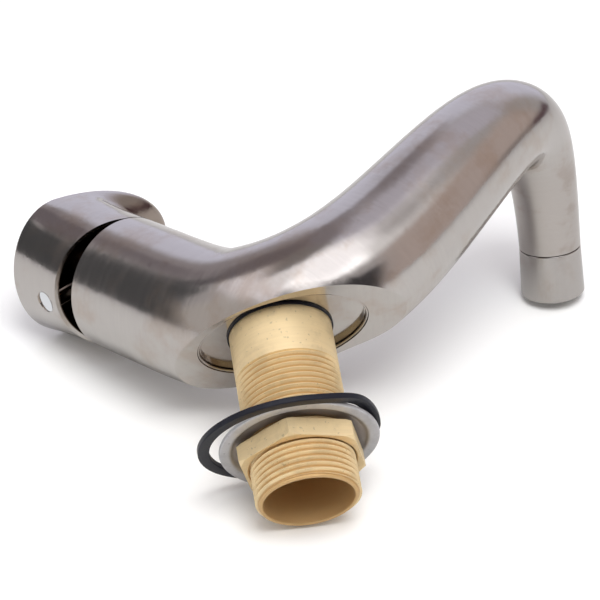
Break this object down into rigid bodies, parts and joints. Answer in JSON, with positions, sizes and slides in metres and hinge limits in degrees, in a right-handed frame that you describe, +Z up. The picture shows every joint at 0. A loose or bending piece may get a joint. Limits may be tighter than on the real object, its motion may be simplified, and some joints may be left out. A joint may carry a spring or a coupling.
{
  "type": "basin mixer tap",
  "caption": "Single-lever basin mixer tap: a bent tube body on a threaded brass shank, an angled control arm with a visor-shaped lever cap, and a down-turned outlet.",
  "frame": {"origin": "on the shank's axis, in the plane of the base that sits on the deck", "axes": "+Z up out of the deck, along the shank; the outlet points down towards -Y, where the user stands; the spout reaches to -X and the control arm leans to +X"},
  "size_m": [0.1969, 0.1024, 0.1507],
  "materials": {
    "satin_nickel": "brushed satin nickel",
    "brass": "machined, unplated",
    "stainless": "plain pressed stainless steel",
    "fibre": "thin dark fibre sheet",
    "rubber": "moulded black rubber",
    "ceramic": "lapped alumina",
    "acetal": "moulded acetal",
    "chrome": "polished"
  },
  "bodies": {
    "tap_body": {"body_casting": "satin_nickel", "threaded_shank": "brass", "base_ring": "rubber", "port_seals": "rubber", "cartridge_base": "acetal", "fixed_disc": "ceramic", "cartridge_housing": "acetal", "cartridge_nut": "brass", "nozzle_collar": "satin_nickel", "aerator_washer": "rubber", "aerator_screen": "stainless", "aerator": "acetal"},
    "rotor": {"stem_rotor": "acetal", "stem_pin": "stainless"},
    "lever": {"handle_cap": "satin_nickel", "stem": "brass", "grub_screw": "stainless", "index_plug": "chrome"},
    "disc_slider": {"disc_carrier": "acetal", "moving_disc": "ceramic"},
    "washers": {"metal_washer": "stainless", "fibre_washer": "fibre"},
    "nut": {"backnut": "brass"},
    "seal_ring": {"rubber_ring": "rubber"}
  },
  "joints": [
    {"name": "handle_turn", "type": "hinge", "parent": "tap_body", "child": "rotor", "pos_m": [0.0469, -0.0304, 0.049], "axis": [0.5745, -0.4329, 0.6947], "range_deg": [-90, 10]},
    {"name": "handle_lift", "type": "hinge", "parent": "rotor", "child": "lever", "pos_m": [0.04288, -0.02737, 0.04414], "axis": [0.1044, 0.8805, 0.4624], "range_deg": [0, 13]},
    {"name": "disc_slide", "type": "slide", "parent": "rotor", "child": "disc_slider", "axis": [-0.8118, -0.1931, 0.551], "range_m": [0, 0.003]},
    {"name": "backnut_turn", "type": "hinge", "parent": "washers", "child": "nut", "pos_m": [0, 0, -0.044], "axis": [0, 0, 1], "range_deg": [-2170, 4510]},
    {"name": "clamp_travel", "type": "slide", "parent": "tap_body", "child": "washers", "axis": [0, 0, 1], "range_m": [-0.012, 0.025]},
    {"name": "ring_slide", "type": "slide", "parent": "washers", "child": "seal_ring", "axis": [0, 0, 1], "range_m": [0, 0.007]}
  ],
  "couplings": [
    {"joint": "disc_slide", "follows": "handle_lift", "m_per_rad": 0.013},
    {"joint": "backnut_turn", "follows": "clamp_travel", "rad_per_m": 3141.6}
  ]
}
